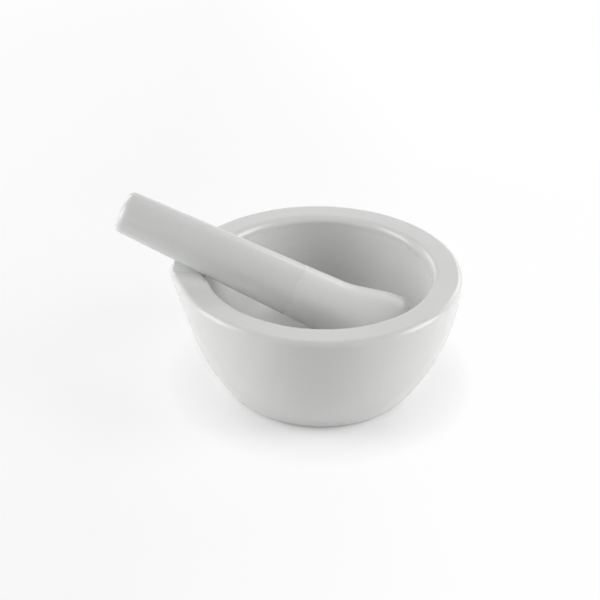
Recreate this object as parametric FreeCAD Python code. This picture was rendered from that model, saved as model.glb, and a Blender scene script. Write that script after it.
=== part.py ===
import FreeCAD, Part
import math
import os

# Porcelain mortar and pestle, in millimetres.
# +Z is up, the mortar stands on z = 0 round the Z axis, and its spout points along -X.
# Both pieces are solids of revolution. The mortar's spout is made the way a potter makes it:
# the turned wall is pushed outwards and its rim pressed down, by amounts that die away smoothly.

V = FreeCAD.Vector

# ---------------------------------------------------------------- mortar, driving sizes
RIM_RADIUS = 70.0           # outside of the rim
HEIGHT = 62.5               # table to rim
BELLY_RADIUS = 106.0        # the outside wall is one arc of this radius
BELLY_RISE = 2.2            # the arc's centre, above the rim: the wall stands upright there
WALL = 15.0                 # between the outside wall and the hollow
RIM_OUTER_ROUND = 2.7
RIM_INNER_ROUND = 3.7
HOLLOW_DEPTH = 53.5         # rim to the lowest point of the hollow
HOLLOW_BOTTOM_RADIUS = 95.0
HOLLOW_CORNER_RADIUS = 24.0
FOOT_ROUND = 3.0            # rounding between the wall and the foot ring
FOOT_RING_WIDTH = 6.0
FOOT_RECESS = 1.5           # how far the underside stands clear of the table
FOOT_RECESS_SLOPE = 2.5     # width of the slope from the ring up into the recess

# ---------------------------------------------------------------- spout, driving sizes
LEAN_REACH = 1.8            # the whole wall leans out this far in the spout's middle
LEAN_HALF_ANGLE = 60.0      # degrees, where the lean has died away round the rim
BEAK_REACH = 4.5            # how much further the lip stands out, for its beak
BEAK_HALF_ANGLE = 18.0      # degrees, where the beak has died away round the rim
BEAK_INNER_SHARE = 0.4      # share of the beak's reach that is felt inside the wall
PUSH_DROP = 38.0            # how far below the rim the lean and the beak have died away
TROUGH_HALF_WIDTH = 7.8
TROUGH_FLAT = 0.4           # share of the half-width that is the trough's floor
TROUGH_DEPTH_AT_BOWL = 3.6
TROUGH_DEPTH_AT_LIP = 1.3
TROUGH_DROP = 27.0          # how far down the wall the pressing is felt
SECTION_SPACING = 1.25      # degrees between the sections that the spout's surface goes through
RIM_POINT_SPACING = 1.0     # between the points of a section, where the rim is rounded
WALL_POINT_SPACING = 3.0    # and along the plain wall
JOIN_TOLERANCE = 0.01       # for joining the spout to the rest of the wall

# ---------------------------------------------------------------- pestle, driving sizes
PESTLE_LENGTH = 154.5
HANDLE_END_RADIUS = 10.7
HANDLE_END_ROUND = 4.2
HANDLE_LENGTH = 114.0       # straight taper, up to where the head starts to flare
HANDLE_TAPER = 0.031        # growth of the radius per millimetre of handle
HEAD_RADIUS = 19.3
HEAD_DOME_RADIUS = 34.0     # rounding of the grinding face
HEAD_EDGE_RADIUS = 7.0      # rounding between the grinding face and the side

# ---------------------------------------------------------------- how the pestle lies at rest
REST_GAP = 0.3              # clearance to the mortar at both places where it rests
REST_SWING = 6.5            # degrees, plan angle between the pestle and the spout's middle line
HEAD_WALL_GAP = 13.0        # pestle tip to the mouth's edge, seen from above
REST_ERROR = 0.01           # how exactly the clearance is found
REST_TRIES = 40

# ---------------------------------------------------------------- sizes that follow
wall_centre = (RIM_RADIUS - math.sqrt((BELLY_RADIUS - RIM_OUTER_ROUND) ** 2
                                      - (BELLY_RISE + RIM_OUTER_ROUND) ** 2) - RIM_OUTER_ROUND,
               HEIGHT + BELLY_RISE)
hollow_radius = BELLY_RADIUS - WALL
hollow_floor = HEIGHT - HOLLOW_DEPTH
mouth_radius = RIM_RADIUS - WALL
lip_radius = RIM_RADIUS + LEAN_REACH + BEAK_REACH
beyond = 2 * RIM_RADIUS     # past the mortar in every direction, for cutting tools


def on_circle(centre, radius, angle):
    """The point of a circle in the r-z half plane."""
    return (centre[0] + radius * math.cos(angle), centre[1] + radius * math.sin(angle))


def direction(start, end):
    """The angle at which end is seen from start."""
    return math.atan2(end[1] - start[1], end[0] - start[0])


def flat_point(point):
    """An (r, z) pair as a point of the XZ plane."""
    return V(point[0], 0, point[1])


def line(start, end):
    return Part.LineSegment(flat_point(start), flat_point(end)).toShape()


def arc(centre, radius, first, last):
    """The arc from angle first to angle last, in the XZ plane."""
    ends = [flat_point(on_circle(centre, radius, a)) for a in (first, (first + last) / 2, last)]
    return Part.Arc(*ends).toShape()


def round_centre_at_height(circle_centre, distance, height):
    """Centre of a rounding that lies at this height and this far from a circle's centre."""
    rise = height - circle_centre[1]
    return (circle_centre[0] + math.sqrt(distance ** 2 - rise ** 2), height)


def crossing_of_circles(centre_a, radius_a, centre_b, radius_b):
    """The outer of the two points where two circles of the half plane cross."""
    gap = math.hypot(centre_b[0] - centre_a[0], centre_b[1] - centre_a[1])
    along = (radius_a ** 2 - radius_b ** 2 + gap ** 2) / (2 * gap)
    aside = math.sqrt(radius_a ** 2 - along ** 2)
    turn = direction(centre_a, centre_b)
    options = [(centre_a[0] + along * math.cos(turn) - side * aside * math.sin(turn),
                centre_a[1] + along * math.sin(turn) + side * aside * math.cos(turn))
               for side in (-1, 1)]
    return max(options)


def turned(edges, degrees=360.0):
    """The solid that a closed outline makes when it is turned round the Z axis."""
    face = Part.Face(Part.Wire(edges))
    return face.revolve(V(0, 0, 0), V(0, 0, 1), degrees)


# ---------------------------------------------------------------- mortar outline
def wall_outline():
    """The edges of the wall's section, from the foot over the rim and down into the hollow."""
    foot = round_centre_at_height(wall_centre, BELLY_RADIUS - FOOT_ROUND, FOOT_ROUND)
    outer = round_centre_at_height(wall_centre, BELLY_RADIUS - RIM_OUTER_ROUND,
                                   HEIGHT - RIM_OUTER_ROUND)
    inner = round_centre_at_height(wall_centre, hollow_radius + RIM_INNER_ROUND,
                                   HEIGHT - RIM_INNER_ROUND)
    floor_centre = (0.0, hollow_floor + HOLLOW_BOTTOM_RADIUS)
    corner = crossing_of_circles(wall_centre, hollow_radius - HOLLOW_CORNER_RADIUS,
                                 floor_centre, HOLLOW_BOTTOM_RADIUS - HOLLOW_CORNER_RADIUS)
    down, up = -math.pi / 2, math.pi / 2
    foot_turn = direction(wall_centre, foot)
    outer_turn = direction(wall_centre, outer)
    inner_turn = direction(wall_centre, inner)
    corner_turn = direction(wall_centre, corner)
    floor_turn = direction(floor_centre, corner)
    return {
        "foot": arc(foot, FOOT_ROUND, down, foot_turn),
        "outside": arc(wall_centre, BELLY_RADIUS, foot_turn, outer_turn),
        "rim_outer": arc(outer, RIM_OUTER_ROUND, outer_turn, up),
        "rim_top": line((outer[0], HEIGHT), (inner[0], HEIGHT)),
        "rim_inner": arc(inner, RIM_INNER_ROUND, up, inner_turn + math.pi),
        "hollow_wall": arc(wall_centre, hollow_radius, inner_turn, corner_turn),
        "hollow_corner": arc(corner, HOLLOW_CORNER_RADIUS, corner_turn, floor_turn),
        "hollow_floor": arc(floor_centre, HOLLOW_BOTTOM_RADIUS, floor_turn, down),
        "foot_radius": foot[0],
    }


def plain_mortar(outline):
    """The mortar before its spout is pressed: one outline turned round the axis."""
    ring_outside = outline["foot_radius"]
    ring_inside = ring_outside - FOOT_RING_WIDTH
    recess = ring_inside - FOOT_RECESS_SLOPE
    underside = [line((0, hollow_floor), (0, FOOT_RECESS)),
                 line((0, FOOT_RECESS), (recess, FOOT_RECESS)),
                 line((recess, FOOT_RECESS), (ring_inside, 0)),
                 line((ring_inside, 0), (ring_outside, 0))]
    names = ("foot", "outside", "rim_outer", "rim_top", "rim_inner",
             "hollow_wall", "hollow_corner", "hollow_floor")
    return turned(underside + [outline[name] for name in names])


# ---------------------------------------------------------------- spout
def smooth_step(share):
    """0 below 0, 1 above 1, and a smooth rise between."""
    share = min(max(share, 0.0), 1.0)
    return share * share * (3 - 2 * share)


def bell(angle, half_angle):
    """1 in the middle of the spout, and 0 from half_angle outwards."""
    return math.cos(math.radians(90 * min(angle / half_angle, 1.0))) ** 2


def pushed_out(radius, drop, angle):
    """How far a point of the plain wall is pushed outwards."""
    outward = min(max((radius - mouth_radius) / WALL, 0.0), 1.0)
    share = BEAK_INNER_SHARE + (1 - BEAK_INNER_SHARE) * outward
    lean = LEAN_REACH * bell(angle, LEAN_HALF_ANGLE)
    beak = BEAK_REACH * bell(angle, BEAK_HALF_ANGLE) * share
    return (lean + beak) * max(1 - drop / PUSH_DROP, 0.0) ** 2


def pressed_down(radius, drop, angle):
    """How far a point of the pushed wall is pressed down to make the trough."""
    aside = radius * math.sin(math.radians(angle)) / TROUGH_HALF_WIDTH
    across = 1 - smooth_step((aside - TROUGH_FLAT) / (1 - TROUGH_FLAT))
    along = smooth_step((radius - mouth_radius) / (lip_radius - mouth_radius))
    depth = TROUGH_DEPTH_AT_BOWL + (TROUGH_DEPTH_AT_LIP - TROUGH_DEPTH_AT_BOWL) * along
    return depth * across * max(1 - drop / TROUGH_DROP, 0.0) ** 2


def shaped(point, angle):
    """Where a point of the plain outline goes, at this many degrees from the spout's middle."""
    drop = HEIGHT - point.z
    radius = point.x + pushed_out(point.x, drop, abs(angle))
    height = point.z - pressed_down(radius, drop, abs(angle))
    turn = math.radians(180 + angle)
    return V(radius * math.cos(turn), radius * math.sin(turn), height)


def spout_angles():
    """Section angles round the spout, evenly spaced so that its surface doesn't ripple."""
    count = math.ceil(LEAN_HALF_ANGLE / SECTION_SPACING) + 1
    return [SECTION_SPACING * i for i in range(-count, count + 1)]


def plain_points(outline, base):
    """Points of the plain wall above height base, from the outside over the rim to the inside."""
    upper = Part.makeBox(2 * beyond, 2, beyond, V(-beyond, -1, base))
    points = []
    for name in ("outside", "rim_outer", "rim_top", "rim_inner", "hollow_wall", "hollow_corner"):
        spacing = RIM_POINT_SPACING if name.startswith("rim") else WALL_POINT_SPACING
        for edge in outline[name].common(upper).Edges:
            run = edge.discretize(Number=2 + math.ceil(edge.Length / spacing))
            start = points[-1] if points else V(0, 0, 0)
            if run[-1].distanceToPoint(start) < run[0].distanceToPoint(start):
                run.reverse()
            points += run[1:] if points else run
    return points


def curve_through(points, places):
    """A smooth curve that passes through the points at the given parameter values."""
    curve = Part.BSplineCurve()
    curve.interpolate(Points=points, Parameters=places)
    return curve


def surface_through(sections, angles):
    """A smooth surface through sections that all have the same number of points."""
    places = [0.0]
    for before, after in zip(sections[0], sections[0][1:]):
        places.append(places[-1] + before.distanceToPoint(after))
    along = [curve_through(points, places) for points in sections]
    pole_rows = zip(*[curve.getPoles() for curve in along])
    around = [curve_through(list(row), angles) for row in pole_rows]
    surface = Part.BSplineSurface()
    surface.buildFromPolesMultsKnots(
        [curve.getPoles() for curve in around],
        along[0].getMultiplicities(), around[0].getMultiplicities(),
        along[0].getKnots(), around[0].getKnots(),
        False, False, along[0].Degree, around[0].Degree)
    return surface


def flat_face(edges):
    return Part.Face(Part.Wire(Part.sortEdges(edges)[0]))


def spout_sector(outline, base):
    """The shaped stretch of wall above height base: one smooth skin, closed by three flat faces."""
    plain = plain_points(outline, base)
    angles = spout_angles()
    skin = surface_through([[shaped(point, angle) for point in plain] for angle in angles], angles)
    outside, inside, first, last = skin.bounds()
    chords = [Part.makeLine(skin.value(outside, around), skin.value(inside, around))
              for around in (first, last)]
    ends = [flat_face([skin.vIso(around).toShape(), chord])
            for around, chord in zip((first, last), chords)]
    foot = flat_face([skin.uIso(outside).toShape(), skin.uIso(inside).toShape()] + chords)
    shell = Part.makeShell([skin.toShape(), foot] + ends)
    shell.sewShape()
    return Part.Solid(shell)


def make_mortar():
    """The turned mortar, with the stretch at its spout cut out and the shaped stretch put in."""
    outline = wall_outline()
    base = HEIGHT - PUSH_DROP
    low_in, low_out = (mouth_radius / 2, base), (beyond, base)
    high_in, high_out = (mouth_radius / 2, beyond), (beyond, beyond)
    half = spout_angles()[-1]
    gap = turned([line(low_in, low_out), line(low_out, high_out),
                  line(high_out, high_in), line(high_in, low_in)], 2 * half)
    gap.rotate(V(0, 0, 0), V(0, 0, 1), 180 - half)
    sector = spout_sector(outline, base)
    return plain_mortar(outline).cut(gap).fuse([sector], JOIN_TOLERANCE).Solids[0]


# ---------------------------------------------------------------- pestle
def make_pestle():
    """The pestle standing on its handle's end, along the Z axis."""
    end = HANDLE_END_ROUND
    handle_top = (HANDLE_END_RADIUS + HANDLE_TAPER * (HANDLE_LENGTH - end), HANDLE_LENGTH)
    edge_reach = HEAD_RADIUS - HEAD_EDGE_RADIUS
    dome_centre = (0.0, PESTLE_LENGTH - HEAD_DOME_RADIUS)
    dome_reach = HEAD_DOME_RADIUS - HEAD_EDGE_RADIUS
    edge_centre = (edge_reach, dome_centre[1] + math.sqrt(dome_reach ** 2 - edge_reach ** 2))
    widest = (HEAD_RADIUS, edge_centre[1])
    third = (widest[1] - handle_top[1]) / 3
    flare = Part.BezierCurve()
    flare.setPoles([flat_point(handle_top),
                    flat_point((handle_top[0] + HANDLE_TAPER * third, handle_top[1] + third)),
                    flat_point((HEAD_RADIUS, widest[1] - third)),
                    flat_point(widest)])
    dome_turn = direction(dome_centre, edge_centre)
    down, up = -math.pi / 2, math.pi / 2
    return turned([line((0, 0), (HANDLE_END_RADIUS - end, 0)),
                   arc((HANDLE_END_RADIUS - end, end), end, down, 0),
                   line((HANDLE_END_RADIUS, end), handle_top),
                   flare.toShape(),
                   arc(edge_centre, HEAD_EDGE_RADIUS, 0, dome_turn),
                   arc(dome_centre, HEAD_DOME_RADIUS, dome_turn, up),
                   line((0, PESTLE_LENGTH), (0, 0))])


# ---------------------------------------------------------------- rest pose
def laid(shape, tilt, height):
    """A copy of a pestle shape with its tip over the hollow and its axis crossing the spout.

    tilt is the slope below the horizontal in radians, and height is how high the axis passes
    over the middle of the rim.
    """
    swing = math.radians(-REST_SWING)
    along = V(math.cos(tilt) * math.cos(swing), math.cos(tilt) * math.sin(swing), -math.sin(tilt))
    over_rim = V(-mouth_radius - WALL / 2, 0, height)
    tip = over_rim + along * ((mouth_radius - HEAD_WALL_GAP - over_rim.x) / along.x)
    turn = FreeCAD.Rotation(V(0, 0, 1), along)
    copy = shape.copy()
    copy.Placement = FreeCAD.Placement(tip - along * PESTLE_LENGTH, turn)
    return copy


def rest_pose(pestle, mortar):
    """The tilt and height at which handle and head both lie REST_GAP from the mortar."""
    over_mouth = HANDLE_LENGTH - HEAD_WALL_GAP
    head_side = Part.makeBox(beyond, beyond, beyond, V(-beyond / 2, -beyond / 2, over_mouth))
    head = pestle.common(head_side)
    handle = pestle.cut(head_side)
    tilt = math.atan2(HEIGHT - hollow_floor, 2 * mouth_radius)
    height = HEIGHT + HANDLE_END_RADIUS
    lever = 2 * mouth_radius - HEAD_WALL_GAP
    for _ in range(REST_TRIES):
        over_spout = laid(handle, tilt, height).distToShape(mortar)[0] - REST_GAP
        over_hollow = laid(head, tilt, height).distToShape(mortar)[0] - REST_GAP
        if max(abs(over_spout), abs(over_hollow)) < REST_ERROR:
            break
        height -= over_spout
        tilt += (over_hollow - over_spout) * math.cos(tilt) / lever
    return tilt, height


def main():
    os.makedirs("parts", exist_ok=True)
    mortar = make_mortar()
    pestle = make_pestle()
    tilt, height = rest_pose(pestle, mortar)
    mortar.exportStep("parts/mortar.step")
    laid(pestle, tilt, height).exportStep("parts/pestle.step")


main()
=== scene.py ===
import bpy
import math
import numpy
from mathutils import Matrix, Vector


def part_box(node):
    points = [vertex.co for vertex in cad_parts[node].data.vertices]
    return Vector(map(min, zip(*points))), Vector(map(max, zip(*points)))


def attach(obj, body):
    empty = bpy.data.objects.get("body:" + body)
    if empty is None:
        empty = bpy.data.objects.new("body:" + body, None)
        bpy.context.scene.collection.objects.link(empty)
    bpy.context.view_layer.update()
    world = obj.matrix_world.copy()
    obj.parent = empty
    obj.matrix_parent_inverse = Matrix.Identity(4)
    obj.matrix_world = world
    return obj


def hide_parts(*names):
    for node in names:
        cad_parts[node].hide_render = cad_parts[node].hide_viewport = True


# %% [markdown]
# # A porcelain mortar and pestle
# The frame holds the two pieces of the object at their real size, in metres: the mortar, standing
# on its foot ring round the Z axis with its spout towards -X, and the pestle lying in it. Loading
# the frame first means that everything below is laid on shapes whose place is already right. The
# drawings are in millimetres, and the visible pieces are drawn a hair smaller all round, so that
# they stay inside the frame's own box.

# %% Load the frame and note its size
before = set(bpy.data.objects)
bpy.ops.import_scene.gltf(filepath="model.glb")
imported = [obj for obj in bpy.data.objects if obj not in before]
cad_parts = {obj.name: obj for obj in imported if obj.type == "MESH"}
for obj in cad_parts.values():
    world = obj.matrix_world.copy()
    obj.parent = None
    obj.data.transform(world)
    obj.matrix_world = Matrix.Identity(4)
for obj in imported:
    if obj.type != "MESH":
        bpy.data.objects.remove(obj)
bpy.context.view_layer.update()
MM = 0.001
HAIR = 0.02

# %% [markdown]
# ## The sizes of the two pots
# A potter's drawing of a turned piece is one section and a handful of radii. The same radii are
# named here, in millimetres, and the rim is read from the frame. The visible pieces are then turned
# from these sections with far more steps than the frame's own mesh has, because a glaze shows
# every facet as a broken reflection.

# %% Sizes of the mortar
mortar_low, mortar_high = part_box("mortar")
RIM_RADIUS = mortar_high.x / MM
HEIGHT = 62.5
BELLY_RADIUS = 106.0
BELLY_RISE = 2.2
WALL = 15.0
RIM_OUTER_ROUND = 2.7
RIM_INNER_ROUND = 3.7
HOLLOW_DEPTH = 53.5
HOLLOW_BOTTOM_RADIUS = 95.0
HOLLOW_CORNER_RADIUS = 24.0
FOOT_ROUND = 3.0
FOOT_RING_WIDTH = 6.0
FOOT_RECESS = 1.5
FOOT_RECESS_SLOPE = 2.5
mouth_radius = RIM_RADIUS - WALL
hollow_radius = BELLY_RADIUS - WALL
hollow_floor = HEIGHT - HOLLOW_DEPTH
print("rim radius", round(RIM_RADIUS, 2), "mouth radius", round(mouth_radius, 2), "mm")

# %% Sizes of the spout
LEAN_REACH = 1.8
LEAN_HALF_ANGLE = 60.0
BEAK_REACH = 4.5
BEAK_HALF_ANGLE = 18.0
BEAK_INNER_SHARE = 0.4
PUSH_DROP = 38.0
TROUGH_HALF_WIDTH = 7.8
TROUGH_FLAT = 0.4
TROUGH_DEPTH_AT_BOWL = 3.6
TROUGH_DEPTH_AT_LIP = 1.3
TROUGH_DROP = 27.0
lip_radius = RIM_RADIUS + LEAN_REACH + BEAK_REACH
print("the lip stands out", round(lip_radius - RIM_RADIUS, 1), "mm past the round rim")

# %% [markdown]
# ## Drawing a section with arcs
# The wall of a cast pot is a chain of arcs that meet without a corner. An arc could be a Bezier
# curve, but a short function that walks along a circle gives points at even steps, and its ends
# are known exactly, so the next arc can start where the last one stopped.

# %% Helpers for arcs
def on_circle(centre, radius, angle):
    return (centre[0] + radius * math.cos(angle), centre[1] + radius * math.sin(angle))


def direction(start, end):
    return math.atan2(end[1] - start[1], end[0] - start[0])


def arc_points(centre, radius, first, last, steps):
    return [on_circle(centre, radius, first + (last - first) * i / steps) for i in range(steps + 1)]


def line_points(start, end, steps):
    return [(start[0] + (end[0] - start[0]) * i / steps, start[1] + (end[1] - start[1]) * i / steps)
            for i in range(steps + 1)]


def centre_at_height(circle_centre, distance, height):
    rise = height - circle_centre[1]
    return (circle_centre[0] + math.sqrt(distance ** 2 - rise ** 2), height)


def outer_crossing(centre_a, radius_a, centre_b, radius_b):
    gap = math.hypot(centre_b[0] - centre_a[0], centre_b[1] - centre_a[1])
    along = (radius_a ** 2 - radius_b ** 2 + gap ** 2) / (2 * gap)
    aside = math.sqrt(radius_a ** 2 - along ** 2)
    turn = direction(centre_a, centre_b)
    choices = [on_circle(on_circle(centre_a, along, turn), side * aside, turn + math.pi / 2)
               for side in (-1, 1)]
    return max(choices)


# %% [markdown]
# ## The mortar's section
# The wall is nearly upright at the rim and curves in to the foot, because the outside is one large
# arc and the inside follows it at a wall's thickness. The rim is rounded more on the inside, where
# the pestle rubs. The foot ring is the only place that touches the table.
# Each run below ends with its number of steps: more where the wall bends tightly or is long.

# %% The mortar's section, from the middle of the underside round to the middle of the hollow
def mortar_section():
    wall_centre = (RIM_RADIUS - math.sqrt((BELLY_RADIUS - RIM_OUTER_ROUND) ** 2
                                          - (BELLY_RISE + RIM_OUTER_ROUND) ** 2) - RIM_OUTER_ROUND,
                   HEIGHT + BELLY_RISE)
    foot = centre_at_height(wall_centre, BELLY_RADIUS - FOOT_ROUND, FOOT_ROUND)
    outer = centre_at_height(wall_centre, BELLY_RADIUS - RIM_OUTER_ROUND, HEIGHT - RIM_OUTER_ROUND)
    inner = centre_at_height(wall_centre, hollow_radius + RIM_INNER_ROUND, HEIGHT - RIM_INNER_ROUND)
    floor_centre = (0.0, hollow_floor + HOLLOW_BOTTOM_RADIUS)
    corner = outer_crossing(wall_centre, hollow_radius - HOLLOW_CORNER_RADIUS,
                            floor_centre, HOLLOW_BOTTOM_RADIUS - HOLLOW_CORNER_RADIUS)
    up, down = math.pi / 2, -math.pi / 2
    foot_turn = direction(wall_centre, foot)
    outer_turn = direction(wall_centre, outer)
    inner_turn = direction(wall_centre, inner)
    corner_turn = direction(wall_centre, corner)
    floor_turn = direction(floor_centre, corner)
    ring_inside = foot[0] - FOOT_RING_WIDTH
    recess = ring_inside - FOOT_RECESS_SLOPE
    runs = [line_points((0.0, FOOT_RECESS), (recess, FOOT_RECESS), 12),
            line_points((recess, FOOT_RECESS), (ring_inside, 0.0), 6),
            line_points((ring_inside, 0.0), (foot[0], 0.0), 6),
            arc_points(foot, FOOT_ROUND, down, foot_turn, 10),
            arc_points(wall_centre, BELLY_RADIUS, foot_turn, outer_turn, 44),
            arc_points(outer, RIM_OUTER_ROUND, outer_turn, up, 14),
            line_points((outer[0], HEIGHT), (inner[0], HEIGHT), 12),
            arc_points(inner, RIM_INNER_ROUND, up, inner_turn + math.pi, 14),
            arc_points(wall_centre, hollow_radius, inner_turn, corner_turn, 24),
            arc_points(corner, HOLLOW_CORNER_RADIUS, corner_turn, floor_turn, 16),
            arc_points(floor_centre, HOLLOW_BOTTOM_RADIUS, floor_turn, down, 16)]
    section = runs[0]
    for run in runs[1:]:
        section = section + run[1:]
    return section


mortar_outline = mortar_section()
print("points in the mortar's section:", len(mortar_outline))

# %% [markdown]
# ## The spout
# A spout is pulled while the clay is still soft: a finger pushes the wall outwards between two
# others, and strokes a trough into the rim. It could be sculpted by hand. Here each point of the
# turned wall is moved by two smooth amounts, one outwards and one down, that fade to nothing, so
# the spout has no seam with the wall, just as the real one has none.

# %% Push the wall out and press the rim down
def smooth_step(share):
    share = min(max(share, 0.0), 1.0)
    return share * share * (3 - 2 * share)


def bell(angle, half_angle):
    return math.cos(math.radians(90 * min(angle / half_angle, 1.0))) ** 2


def pushed_out(radius, drop, angle):
    outward = min(max((radius - mouth_radius) / WALL, 0.0), 1.0)
    share = BEAK_INNER_SHARE + (1 - BEAK_INNER_SHARE) * outward
    lean = LEAN_REACH * bell(angle, LEAN_HALF_ANGLE)
    beak = BEAK_REACH * bell(angle, BEAK_HALF_ANGLE) * share
    return (lean + beak) * max(1 - drop / PUSH_DROP, 0.0) ** 2


def pressed_down(radius, drop, angle):
    aside = radius * math.sin(math.radians(min(angle, 90.0))) / TROUGH_HALF_WIDTH
    across = 1 - smooth_step((aside - TROUGH_FLAT) / (1 - TROUGH_FLAT))
    along = smooth_step((radius - mouth_radius) / (lip_radius - mouth_radius))
    depth = TROUGH_DEPTH_AT_BOWL + (TROUGH_DEPTH_AT_LIP - TROUGH_DEPTH_AT_BOWL) * along
    return depth * across * max(1 - drop / TROUGH_DROP, 0.0) ** 2


def shaped(radius, height, angle):
    drop = HEIGHT - height
    radius += pushed_out(radius, drop, abs(angle)) - HAIR
    height -= pressed_down(radius, drop, abs(angle))
    turn = math.radians(180 + angle)
    return Vector((radius * math.cos(turn), radius * math.sin(turn), height)) * MM


print("bottom of the trough at the mouth:", round(shaped(mouth_radius, HEIGHT, 0.0).z / MM, 1), "mm up")
print("bottom of the trough at the lip:", round(shaped(RIM_RADIUS, HEIGHT, 0.0).z / MM, 1), "mm up")

# %% [markdown]
# ## From a section to a mesh
# A turned piece could be made with the Screw modifier, but the spout needs every point moved by
# its own angle. So the rings are written out: one ring of points for each point of the section,
# and quads between neighbouring rings. Rings on the axis shrink to one point with a fan of
# triangles. Each face carries a number for its finish, and each point remembers where it was on
# the drawing, upright and unturned, so that the finishes can follow the piece however it lies.

# %% Turn a section into a mesh object
ON_AXIS = 1e-6


def turned_object(name, rings, place, finish_of):
    vertices, faces, finishes, starts = [], [], [], []
    steps = max(len(ring) for ring in rings)
    for ring in rings:
        starts.append(len(vertices))
        vertices += ring
    for level in range(len(rings) - 1):
        low, high = rings[level], rings[level + 1]
        for i in range(steps):
            j = (i + 1) % steps
            a, b = starts[level] + i % len(low), starts[level] + j % len(low)
            c, d = starts[level + 1] + j % len(high), starts[level + 1] + i % len(high)
            corners = [a, b, c, d] if len(low) > 1 and len(high) > 1 else \
                ([a, c, d] if len(low) == 1 else [a, b, c])
            faces.append(corners)
            finishes.append(finish_of(level))
    mesh = bpy.data.meshes.new(name)
    mesh.from_pydata([place @ vertex for vertex in vertices], [], faces)
    drawn_at = mesh.attributes.new("drawn_at", "FLOAT_VECTOR", "POINT")
    drawn_at.data.foreach_set("vector", [c for vertex in vertices for c in vertex])
    mesh.polygons.foreach_set("material_index", finishes)
    mesh.polygons.foreach_set("use_smooth", [True] * len(faces))
    piece = bpy.data.objects.new(name, mesh)
    bpy.context.scene.collection.objects.link(piece)
    print(name, "has", len(vertices), "points and", len(faces), "faces")
    return piece


# %% The mortar's rings
RING_STEPS = 480
angles = [360 * i / RING_STEPS - 180 for i in range(RING_STEPS)]
mortar_rings = [[Vector((0, 0, z)) * MM] if r < ON_AXIS else [shaped(r, z, a) for a in angles]
                for r, z in mortar_outline]
print("rings:", len(mortar_rings), "of", RING_STEPS, "points")

# %% Turn the mortar, with a finish for each stretch of its wall
OUTSIDE, HOLLOW, UNDERSIDE = 0, 1, 2
first_top_ring = max(range(len(mortar_outline)), key=lambda i: mortar_outline[i][1])


def mortar_finish(level):
    radius, height = mortar_outline[level]
    next_height = mortar_outline[level + 1][1]
    if level > first_top_ring and radius < mouth_radius + RIM_INNER_ROUND:
        return HOLLOW
    if level < first_top_ring and max(height, next_height) <= FOOT_RECESS:
        return UNDERSIDE
    return OUTSIDE


mortar = turned_object("mortar_body", mortar_rings, Matrix.Identity(4), mortar_finish)

# %% [markdown]
# ## The pestle
# The pestle is turned too: a plain taper for the hand, a flare, and a domed grinding head. It is
# drawn standing on its handle's end and then laid along the axis of the frame's pestle. That axis
# runs from the middle of the flat handle end to the tip of the head, and both are found in the
# frame's own mesh, so the two can't drift apart.

# %% Sizes of the pestle
PESTLE_LENGTH = 154.5
HANDLE_END_RADIUS = 10.7
HANDLE_END_ROUND = 4.2
HANDLE_LENGTH = 114.0
HANDLE_TAPER = 0.031
HEAD_RADIUS = 19.3
HEAD_DOME_RADIUS = 34.0
HEAD_EDGE_RADIUS = 7.0
print("thickness of the handle's end", 2 * HANDLE_END_RADIUS, "and of the head", 2 * HEAD_RADIUS, "mm")

# %% The pestle's section
def bezier_points(a, b, c, d, steps):
    points = []
    for i in range(steps + 1):
        t = i / steps
        s = 1 - t
        weights = (s ** 3, 3 * s * s * t, 3 * s * t * t, t ** 3)
        points.append(tuple(sum(w * p[k] for w, p in zip(weights, (a, b, c, d))) for k in (0, 1)))
    return points


def pestle_section():
    end = HANDLE_END_ROUND
    handle_top = (HANDLE_END_RADIUS + HANDLE_TAPER * (HANDLE_LENGTH - end), HANDLE_LENGTH)
    edge_reach = HEAD_RADIUS - HEAD_EDGE_RADIUS
    dome_centre = (0.0, PESTLE_LENGTH - HEAD_DOME_RADIUS)
    dome_reach = HEAD_DOME_RADIUS - HEAD_EDGE_RADIUS
    edge_centre = (edge_reach, dome_centre[1] + math.sqrt(dome_reach ** 2 - edge_reach ** 2))
    widest = (HEAD_RADIUS, edge_centre[1])
    third = (widest[1] - handle_top[1]) / 3
    dome_turn = direction(dome_centre, edge_centre)
    up, down = math.pi / 2, -math.pi / 2
    runs = [line_points((0.0, 0.0), (HANDLE_END_RADIUS - end, 0.0), 6),
            arc_points((HANDLE_END_RADIUS - end, end), end, down, 0.0, 14),
            line_points((HANDLE_END_RADIUS, end), handle_top, 60),
            bezier_points(handle_top, (handle_top[0] + HANDLE_TAPER * third, handle_top[1] + third),
                          (HEAD_RADIUS, widest[1] - third), widest, 28),
            arc_points(edge_centre, HEAD_EDGE_RADIUS, 0.0, dome_turn, 16),
            arc_points(dome_centre, HEAD_DOME_RADIUS, dome_turn, up, 16)]
    section = runs[0]
    for run in runs[1:]:
        section = section + run[1:]
    return section


pestle_outline = pestle_section()
print("points in the pestle's section:", len(pestle_outline))

# %% Find the pestle's axis in the frame
END_SLICE = 0.3
pestle_points = numpy.array([v.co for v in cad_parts["pestle"].data.vertices])
spread = numpy.linalg.svd(pestle_points - pestle_points.mean(axis=0), full_matrices=False)[2]
rough_axis = spread[0] * math.copysign(1.0, spread[0][0])
heights = pestle_points @ rough_axis
end_middle = Vector(pestle_points[heights < heights.min() + END_SLICE * MM].mean(axis=0))
head_tip = Vector(pestle_points[heights.argmax()])
pestle_axis = (head_tip - end_middle).normalized()
print("axis", [round(c, 4) for c in pestle_axis])
print("length in the frame", round((head_tip - end_middle).length / MM, 2), "mm")

# %% Stand the turned pestle on that axis
upright = Vector((0, 0, 1))
pestle_place = Matrix.Translation(head_tip - pestle_axis * PESTLE_LENGTH * MM) @ \
    upright.rotation_difference(pestle_axis).to_matrix().to_4x4()
print("it leans", round(math.degrees(upright.angle(-pestle_axis)), 1), "degrees from upright")

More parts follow.
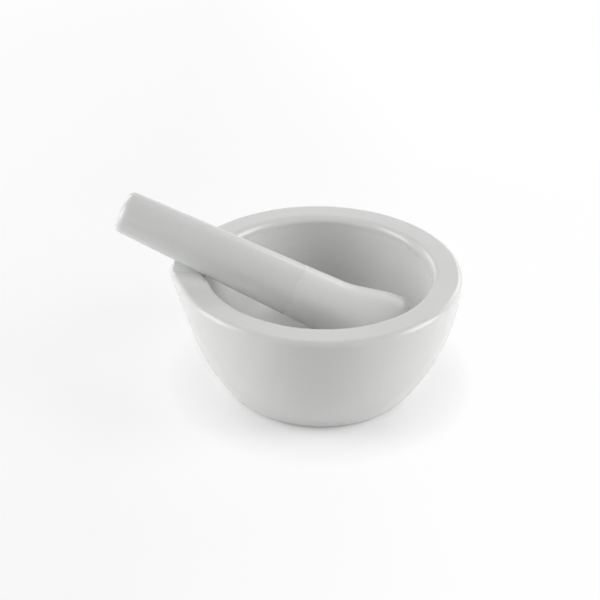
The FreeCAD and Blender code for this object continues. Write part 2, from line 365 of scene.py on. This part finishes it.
# %% Turn the pestle
def pestle_ring(radius, height):
    height += HAIR * (1 - 2 * height / PESTLE_LENGTH)
    if radius < ON_AXIS:
        return [Vector((0, 0, height)) * MM]
    turns = [math.radians(angle) for angle in angles]
    return [Vector(((radius - HAIR) * math.cos(turn), (radius - HAIR) * math.sin(turn), height)) * MM
            for turn in turns]


pestle_rings = [pestle_ring(radius, height) for radius, height in pestle_outline]
pestle = turned_object("pestle_body", pestle_rings, pestle_place, lambda level: 0)

# %% Tie both pieces to the frame
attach(mortar, "mortar")
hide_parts("mortar")
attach(pestle, "pestle")
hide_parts("pestle")

# %% [markdown]
# ## Helpers for the finishes
# A finish is a small graph of nodes. The same few steps come back in each one: a noise that sits
# still on the piece, a range that turns it into useful numbers, and a mix of two colours or two
# numbers. Giving each step a short function keeps the graphs readable as plain lines.

# %% Helpers for materials
def new_material(name):
    material = bpy.data.materials.new(name)
    material.use_nodes = True
    tree = material.node_tree
    drawn_at = tree.nodes.new("ShaderNodeAttribute")
    drawn_at.attribute_name = "drawn_at"
    return material, tree, tree.nodes["Principled BSDF"], drawn_at.outputs["Vector"]


def noise(tree, place, per_metre, detail=2.0):
    node = tree.nodes.new("ShaderNodeTexNoise")
    node.inputs["Scale"].default_value = per_metre
    node.inputs["Detail"].default_value = detail
    tree.links.new(place, node.inputs["Vector"])
    return node.outputs["Fac"]


def stretched(tree, place, across, along):
    node = tree.nodes.new("ShaderNodeVectorMath")
    node.operation = "MULTIPLY"
    node.inputs[1].default_value = (across, across, along)
    tree.links.new(place, node.inputs[0])
    return node.outputs["Vector"]


def ranged(tree, value, low, high, to_low, to_high):
    node = tree.nodes.new("ShaderNodeMapRange")
    for socket, number in zip(("From Min", "From Max", "To Min", "To Max"), (low, high, to_low, to_high)):
        node.inputs[socket].default_value = number
    tree.links.new(value, node.inputs["Value"])
    return node.outputs["Result"]


def combined(tree, operation, first, second):
    node = tree.nodes.new("ShaderNodeMath")
    node.operation = operation
    for socket, value in zip(node.inputs, (first, second)):
        if isinstance(value, float):
            socket.default_value = value
        else:
            tree.links.new(value, socket)
    return node.outputs["Value"]


def mixed(tree, share, first, second):
    node = tree.nodes.new("ShaderNodeMix")
    node.data_type = "RGBA"
    tree.links.new(share, node.inputs["Factor"])
    for socket, colour in ((node.inputs[6], first), (node.inputs[7], second)):
        if isinstance(colour, tuple):
            socket.default_value = (*colour, 1.0)
        else:
            tree.links.new(colour, socket)
    return node.outputs[2]


def blended(tree, share, first, second):
    node = tree.nodes.new("ShaderNodeMix")
    tree.links.new(share, node.inputs["Factor"])
    tree.links.new(first, node.inputs[2])
    tree.links.new(second, node.inputs[3])
    return node.outputs[0]


def bump(tree, height, depth, before=None):
    node = tree.nodes.new("ShaderNodeBump")
    node.inputs["Distance"].default_value = depth
    tree.links.new(height, node.inputs["Height"])
    if before is not None:
        tree.links.new(before, node.inputs["Normal"])
    return node.outputs["Normal"]


# %% [markdown]
# ## Glazed and bare porcelain
# A clear glaze is a coat of glass on a pale, faintly uneven body. The body gives the colour, with
# soft clouds and a rare speck of iron, and the glass gives the shine: a low roughness that wanders,
# and a shallow waviness, because a glaze flows before it sets. Where the pieces grind against each
# other there is no glaze, since it would wear off into the powder. Bare clay is duller, has a fine
# tooth, and carries faint grey rings where the pestle has gone round. All of this could be painted
# on a picture and wrapped round, but noise needs no unwrapping and holds up at any distance.

# %% Colour and shine of the porcelain
GLAZE_DARKER, GLAZE_LIGHTER = (0.722, 0.731, 0.718), (0.744, 0.751, 0.739)
GLAZE_SPECK = (0.69, 0.68, 0.66)
GLAZE_ROUGHNESS = (0.20, 0.27)
BARE_DARKER, BARE_LIGHTER = (0.739, 0.744, 0.732), (0.761, 0.765, 0.753)
BARE_RUBBED = (0.66, 0.66, 0.65)
BARE_ROUGHNESS = (0.30, 0.40)
print("the bare clay is lighter by", round(BARE_LIGHTER[1] - GLAZE_LIGHTER[1], 3))

# %% Marks to the metre, and their depths
GLAZE_CLOUDS, GLAZE_SPECKS, GLAZE_PATCHES = 28.0, 650.0, 120.0
GLAZE_WAVES, GLAZE_RIPPLES = 50.0, 420.0
BARE_CLOUDS, BARE_PATCHES, BARE_TOOTH = 60.0, 300.0, 2600.0
RUBBED_PATCHES, RINGS_ACROSS, RINGS_ALONG = 35.0, 30.0, 900.0
WAVE_DEPTH, RIPPLE_DEPTH = 0.12 * MM, 0.012 * MM
TOOTH_DEPTH, GLAZE_STEP = 0.03 * MM, 0.03 * MM
print("one wave of the glaze is about", round(1 / GLAZE_WAVES / MM), "mm long")


# %% A number that wanders over the piece
def wandering(tree, place, per_metre, low, high, detail=2.0):
    return ranged(tree, noise(tree, place, per_metre, detail), 0.3, 0.7, low, high)


# %% The look of the glaze: colour and roughness
def glazed_look(tree, place):
    body = mixed(tree, wandering(tree, place, GLAZE_CLOUDS, 0.0, 1.0), GLAZE_DARKER, GLAZE_LIGHTER)
    specks = ranged(tree, noise(tree, place, GLAZE_SPECKS, 0.0), 0.845, 0.87, 0.0, 1.0)
    colour = mixed(tree, specks, body, GLAZE_SPECK)
    return colour, wandering(tree, place, GLAZE_PATCHES, *GLAZE_ROUGHNESS)


# %% The look of the bare clay: colour and roughness
def bare_look(tree, place):
    body = mixed(tree, wandering(tree, place, BARE_CLOUDS, 0.0, 1.0, 4.0), BARE_DARKER, BARE_LIGHTER)
    rings = noise(tree, stretched(tree, place, RINGS_ACROSS, RINGS_ALONG), 1.0, 3.0)
    patches = ranged(tree, noise(tree, place, RUBBED_PATCHES), 0.5, 0.7, 0.0, 1.0)
    rubbed = combined(tree, "MULTIPLY", ranged(tree, rings, 0.5, 0.8, 0.0, 0.5), patches)
    colour = mixed(tree, rubbed, body, BARE_RUBBED)
    return colour, wandering(tree, place, BARE_PATCHES, *BARE_ROUGHNESS)


# %% The waviness of the glaze
def glaze_wave(tree, place):
    return bump(tree, noise(tree, place, GLAZE_WAVES, 1.0), WAVE_DEPTH)


# %% Plug a colour, a roughness and a surface into the shader
def dressed(tree, shader, colour, roughness, surface):
    tree.links.new(colour, shader.inputs["Base Color"])
    tree.links.new(roughness, shader.inputs["Roughness"])
    tree.links.new(surface, shader.inputs["Normal"])


# %% Porcelain with glaze all over, and porcelain with none
def glazed_porcelain(name):
    material, tree, shader, place = new_material(name)
    ripples = noise(tree, place, GLAZE_RIPPLES, 1.0)
    surface = bump(tree, ripples, RIPPLE_DEPTH, glaze_wave(tree, place))
    dressed(tree, shader, *glazed_look(tree, place), surface)
    return material


def bare_porcelain(name):
    material, tree, shader, place = new_material(name)
    surface = bump(tree, noise(tree, place, BARE_TOOTH, 3.0), TOOTH_DEPTH)
    dressed(tree, shader, *bare_look(tree, place), surface)
    return material


# %% [markdown]
# ## Where the glaze stops
# The potter dips or wipes the glaze by hand, so its edge is never a perfect circle. The edge is
# found from the height along the piece plus a little slow noise. The same edge drives everything:
# the colour, the roughness, and a step in the bump map, since the glaze stands a hair proud. Two
# materials side by side could do it too, but only with a hard, straight line between them.

# %% How bare each place is, from 0 in the glaze to 1 beyond its edge
EDGE_WAVES = 45.0
EDGE_WANDER = 1.6
EDGE_WIDTH = 2.4


def bare_beyond(tree, place, edge, towards):
    parts = tree.nodes.new("ShaderNodeSeparateXYZ")
    tree.links.new(place, parts.inputs["Vector"])
    wander = wandering(tree, place, EDGE_WAVES, -EDGE_WANDER * MM, EDGE_WANDER * MM, 3.0)
    height = combined(tree, "ADD", parts.outputs["Z"], wander)
    low, high = (edge - EDGE_WIDTH) * MM, (edge + EDGE_WIDTH) * MM
    share = (0.0, 1.0) if towards > 0 else (1.0, 0.0)
    return ranged(tree, height, low, high, *share)


# %% Porcelain that is glazed up to an edge
def half_glazed_porcelain(name, edge, towards):
    material, tree, shader, place = new_material(name)
    glaze_colour, glaze_roughness = glazed_look(tree, place)
    bare_colour, bare_roughness = bare_look(tree, place)
    bare = bare_beyond(tree, place, edge, towards)
    colour = mixed(tree, bare, glaze_colour, bare_colour)
    roughness = blended(tree, bare, glaze_roughness, bare_roughness)
    tooth = combined(tree, "MULTIPLY", noise(tree, place, BARE_TOOTH, 3.0), bare)
    toothed = bump(tree, tooth, TOOTH_DEPTH, glaze_wave(tree, place))
    stepped = bump(tree, combined(tree, "SUBTRACT", 1.0, bare), GLAZE_STEP, toothed)
    dressed(tree, shader, colour, roughness, stepped)
    return material


# %% Dress both pieces
GLAZE_STOP_UNDER_RIM = 5.2
GLAZE_STOP_ON_HANDLE = 94.0
mortar.data.materials.append(glazed_porcelain("glazed_porcelain"))
mortar.data.materials.append(
    half_glazed_porcelain("porcelain_of_the_hollow", HEIGHT - GLAZE_STOP_UNDER_RIM, -1))
mortar.data.materials.append(bare_porcelain("bare_porcelain"))
pestle.data.materials.append(
    half_glazed_porcelain("porcelain_of_the_pestle", GLAZE_STOP_ON_HANDLE, 1))
print("finishes:", [m.name for m in mortar.data.materials] + [m.name for m in pestle.data.materials])

# %% [markdown]
# ## The floor
# The pieces stand on a plain white sheet. It keeps their shadow, so it has to be a real surface
# and not only a white background. Further out the sheet should look as clean as paper, which more
# light would only do by bleaching the pieces too. So where the camera sees it, straight or mirrored
# in the glaze, the sheet is blended with plain white: hardly at all at the foot, and nearly fully
# away from it. Left of the middle it gets less white than on the right, which paints a faint shadow
# on the left of the sheet. The light that it sends back to the pieces stays its own.

# %% Lay the floor
FLOOR_SIZE = 6.0
bpy.ops.mesh.primitive_plane_add(size=FLOOR_SIZE, location=(0, 0, 0))
floor = bpy.context.object
floor.name = "floor"
sheet, sheet_tree, sheet_shader, _ = new_material("white_sheet")
sheet_shader.inputs["Base Color"].default_value = (0.93, 0.93, 0.93, 1.0)
sheet_shader.inputs["Roughness"].default_value = 0.9
sheet_shader.inputs["Specular IOR Level"].default_value = 0.0
floor.data.materials.append(sheet)
print("the sheet is", FLOOR_SIZE, "m wide")


# %% Tell a ray that shows the background from one that only carries light
def seen_directly(tree):
    path = tree.nodes.new("ShaderNodeLightPath").outputs
    mirrored = combined(tree, "MAXIMUM", path["Is Glossy Ray"], path["Is Transmission Ray"])
    return combined(tree, "MAXIMUM", path["Is Camera Ray"], mirrored)


# %% How white each place of the sheet is shown
SHADOW_FROM, SHADOW_TO = 0.044, 0.080
SHADOW_SIDE, SHADOW_SIDE_WHITE = (-0.10, 0.07), (0.74, 0.97)
FAR_FROM, FAR_TO, FAR_WHITE = 0.25, 0.90, 0.3
sheet_place = sheet_tree.nodes.new("ShaderNodeTexCoord").outputs["Object"]
reach = sheet_tree.nodes.new("ShaderNodeVectorMath")
reach.operation = "LENGTH"
sheet_tree.links.new(sheet_place, reach.inputs[0])
sheet_parts = sheet_tree.nodes.new("ShaderNodeSeparateXYZ")
sheet_tree.links.new(sheet_place, sheet_parts.inputs["Vector"])
near = ranged(sheet_tree, reach.outputs["Value"], SHADOW_FROM, SHADOW_TO, 0.0, 1.0)
# Less white on the left than on the right: a faint painted shadow on the left side of the sheet.
painted_shadow_side = ranged(sheet_tree, sheet_parts.outputs["X"], *SHADOW_SIDE, *SHADOW_SIDE_WHITE)
far = ranged(sheet_tree, reach.outputs["Value"], FAR_FROM, FAR_TO, 0.0, FAR_WHITE)
whiter = combined(sheet_tree, "ADD", combined(sheet_tree, "MULTIPLY", near, painted_shadow_side), far)
print("the sheet whitens from", SHADOW_FROM, "to", SHADOW_TO, "m from the middle")

# %% Blend the sheet with plain white
plain_white = sheet_tree.nodes.new("ShaderNodeEmission")
plain_white.inputs["Strength"].default_value = 1.0
blend = sheet_tree.nodes.new("ShaderNodeMixShader")
share = combined(sheet_tree, "MULTIPLY", whiter, seen_directly(sheet_tree))
sheet_tree.links.new(share, blend.inputs["Fac"])
sheet_tree.links.new(sheet_shader.outputs["BSDF"], blend.inputs[1])
sheet_tree.links.new(plain_white.outputs["Emission"], blend.inputs[2])
sheet_tree.links.new(blend.outputs["Shader"], sheet_tree.nodes["Material Output"].inputs["Surface"])
print("nodes in the sheet's material:", len(sheet_tree.nodes))

# %% [markdown]
# ## Light
# White ware is best shown between large soft lights, so that its round sides are bright and the
# middle stays a tone darker. One small sun would give hard shadows and a hot spot in the glaze. A
# wide lamp on each side does most of the work, two behind light the rim and the far side, and only
# a little comes from the front, from above and from the room.

# %% Hang a soft lamp
LAMPS_AIM = Vector((0, 0, 0.04))


def soft_lamp(name, place, size, watts):
    data = bpy.data.lights.new(name, "AREA")
    data.shape = "RECTANGLE"
    data.size, data.size_y = size
    data.energy = watts
    lamp = bpy.data.objects.new(name, data)
    lamp.location = place
    lamp.rotation_euler = (LAMPS_AIM - Vector(place)).to_track_quat("-Z", "Y").to_euler()
    bpy.context.scene.collection.objects.link(lamp)


# %% Hang the pairs of lamps, and one behind
LAMP_PAIRS = (("side_light", (0.9, -0.1, 0.45), (0.5, 0.8), (6.77, 7.18)),
              ("front_light", (0.7, -0.9, 0.5), (0.4, 0.6), (1.46, 1.15)),
              ("top_light", (0.6, 0.3, 0.9), (0.5, 0.5), (0.48, 0.32)),
              ("back_light", (0.6, 0.8, 0.5), (0.5, 0.5), (2.20, 2.20)))
for name, (aside, along, height), size, (left_watts, right_watts) in LAMP_PAIRS:
    soft_lamp("left_" + name, (-aside, along, height), size, left_watts)
    soft_lamp("right_" + name, (aside, along, height), size, right_watts)
soft_lamp("far_light", (0.0, 1.0, 0.6), (1.0, 0.6), 0.30)

# %% Light the room a little, and show it white
ROOM_LIGHT = 0.03
world = bpy.data.worlds.new("room")
bpy.context.scene.world = world
world.use_nodes = True
room_tree = world.node_tree
room = room_tree.nodes["Background"]
room.inputs["Color"].default_value = (1.0, 1.0, 1.0, 1.0)
room_strength = ranged(room_tree, seen_directly(room_tree), 0.0, 1.0, ROOM_LIGHT, 1.0)
room_tree.links.new(room_strength, room.inputs["Strength"])
print("light from the room:", ROOM_LIGHT)

# %% [markdown]
# ## The camera
# A camera 0.7 m away with a long lens, looking down at about 29 degrees, shows both the side of the
# bowl and its hollow without the wide rim bulging. A short lens nearer by would show as much, but
# would make the near rim look too wide. It is aimed a little below and beside the middle of the
# rim, which puts the whole object in the frame, and it leans a touch to one side.

# %% Where the camera stands
CAMERA_DISTANCE = 0.7
CAMERA_RISE = 0.5120
rim_middle = Vector((0, 0, HEIGHT * MM))
away = Vector((0, -math.cos(CAMERA_RISE), math.sin(CAMERA_RISE)))
eye = rim_middle + away * CAMERA_DISTANCE
print("camera at", [round(c, 3) for c in eye])

# %% Which way it looks, and how it leans
CAMERA_LEAN = 0.0220
AIM_BESIDE = 0.0106
AIM_BELOW = 0.0158
level_right = Vector((1, 0, 0))
level_up = away.cross(level_right)
leaning_right = level_right * math.cos(CAMERA_LEAN) + level_up * math.sin(CAMERA_LEAN)
leaning_up = level_up * math.cos(CAMERA_LEAN) - level_right * math.sin(CAMERA_LEAN)
target = rim_middle - leaning_right * AIM_BESIDE - leaning_up * AIM_BELOW
back = (eye - target).normalized()
right = leaning_up.cross(back).normalized()
up = back.cross(right)
print("aimed at", [round(c, 4) for c in target])

# %% Set up the camera
LENS = 84.6
camera_data = bpy.data.cameras.new("camera")
camera_data.lens = LENS
camera_data.sensor_width = 36.0
camera = bpy.data.objects.new("camera", camera_data)
camera.matrix_world = Matrix.Translation(eye) @ Matrix((right, up, back)).transposed().to_4x4()
bpy.context.scene.collection.objects.link(camera)
bpy.context.scene.camera = camera
bpy.context.scene.view_settings.view_transform = "Standard"
print("the lens sees", round(math.degrees(camera_data.angle), 1), "degrees")
